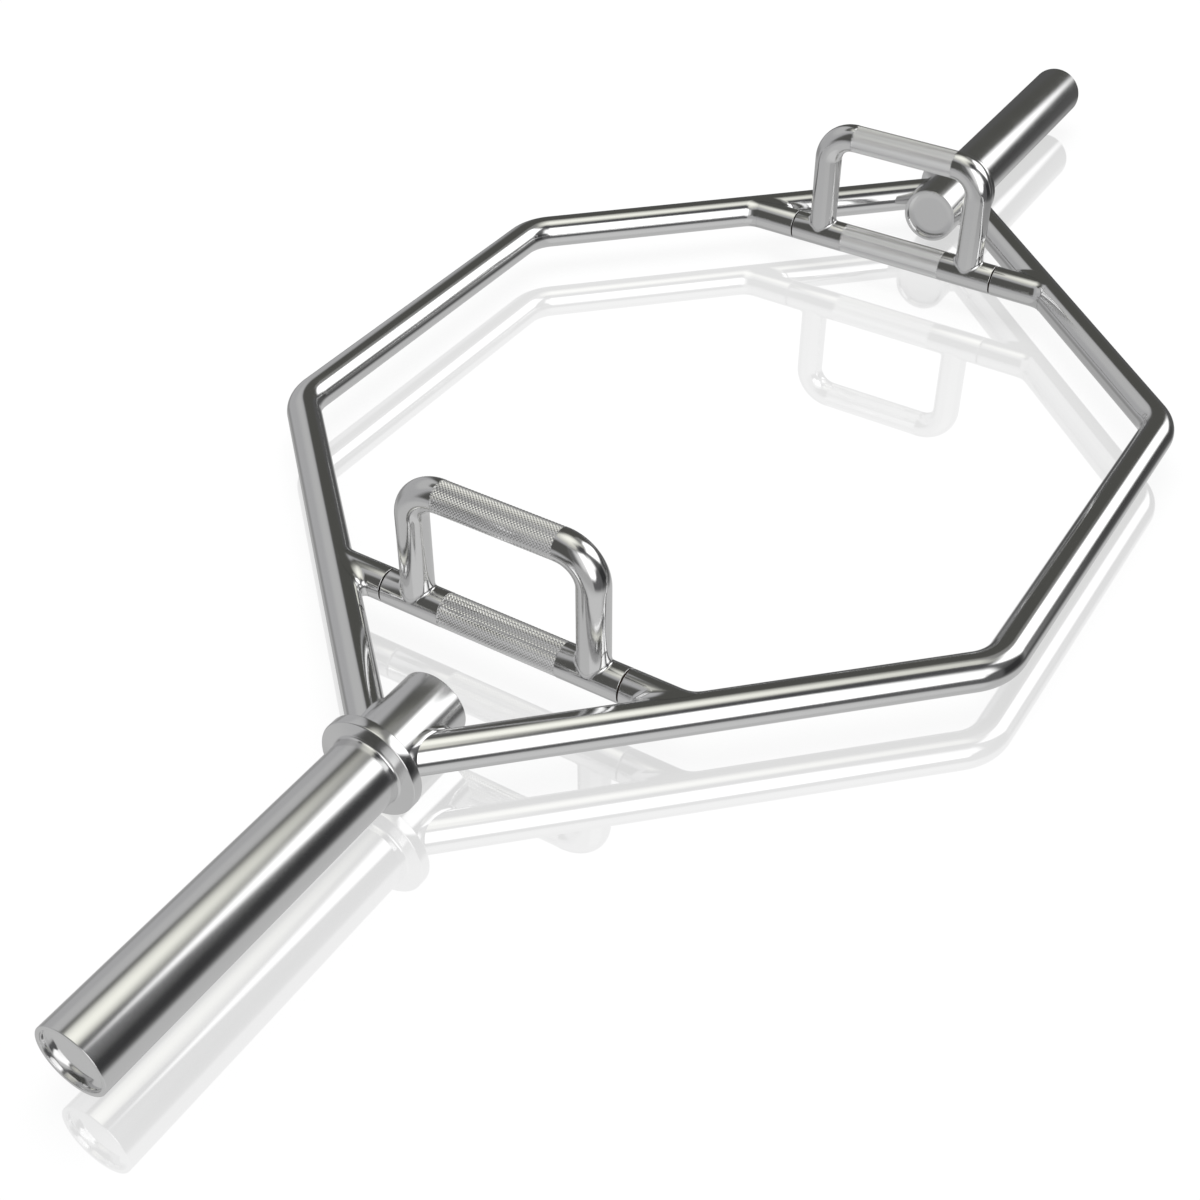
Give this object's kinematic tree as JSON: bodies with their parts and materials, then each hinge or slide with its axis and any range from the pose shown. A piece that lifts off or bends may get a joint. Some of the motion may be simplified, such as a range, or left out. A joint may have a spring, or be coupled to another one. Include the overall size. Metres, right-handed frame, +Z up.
{
  "type": "hex trap bar",
  "caption": "Hexagonal lifting bar of welded chrome tube with plate sleeves, collars and swivelling low and raised grips.",
  "frame": {"origin": "on the floor under the middle of the bar, which lies on its two collars", "axes": "+X along the sleeves to the lifter's right, +Y the way the lifter faces, +Z up"},
  "size_m": [1.415, 0.6144, 0.1444],
  "materials": {
    "chrome": "polished hard chrome on steel tube, knurled on the grips",
    "cap": "chromed pressed steel cap",
    "weld": "ground weld under the chrome",
    "steel": "turned steel",
    "bronze": "plain bearing bronze"
  },
  "bodies": {
    "frame": {"left_sleeve": "chrome", "right_sleeve": "chrome", "left_collar": "chrome", "right_collar": "chrome", "left_end_cap": "cap", "right_end_cap": "cap", "left_hub_cap": "cap", "right_hub_cap": "cap", "front_rail": "chrome", "rear_rail": "chrome", "left_front_stub": "chrome", "left_rear_stub": "chrome", "right_front_stub": "chrome", "right_rear_stub": "chrome", "left_front_plug": "steel", "left_rear_plug": "steel", "right_front_plug": "steel", "right_rear_plug": "steel", "left_axle": "steel", "right_axle": "steel", "left_hub_welds": "weld", "right_hub_welds": "weld", "left_stub_welds": "weld", "right_stub_welds": "weld"},
    "left_handle": {"left_grip": "chrome", "left_loop": "chrome", "left_loop_welds": "weld", "left_front_bush": "bronze", "left_rear_bush": "bronze"},
    "right_handle": {"right_grip": "chrome", "right_loop": "chrome", "right_loop_welds": "weld", "right_front_bush": "bronze", "right_rear_bush": "bronze"}
  },
  "joints": [
    {"name": "left_handle_swivel", "type": "hinge", "parent": "frame", "child": "left_handle", "pos_m": [-0.3075, 0, 0.036], "axis": [0, -1, 0], "range_deg": [-246, 66]},
    {"name": "right_handle_swivel", "type": "hinge", "parent": "frame", "child": "right_handle", "pos_m": [0.3075, 0, 0.036], "axis": [0, 1, 0], "range_deg": [-246, 66]}
  ]
}
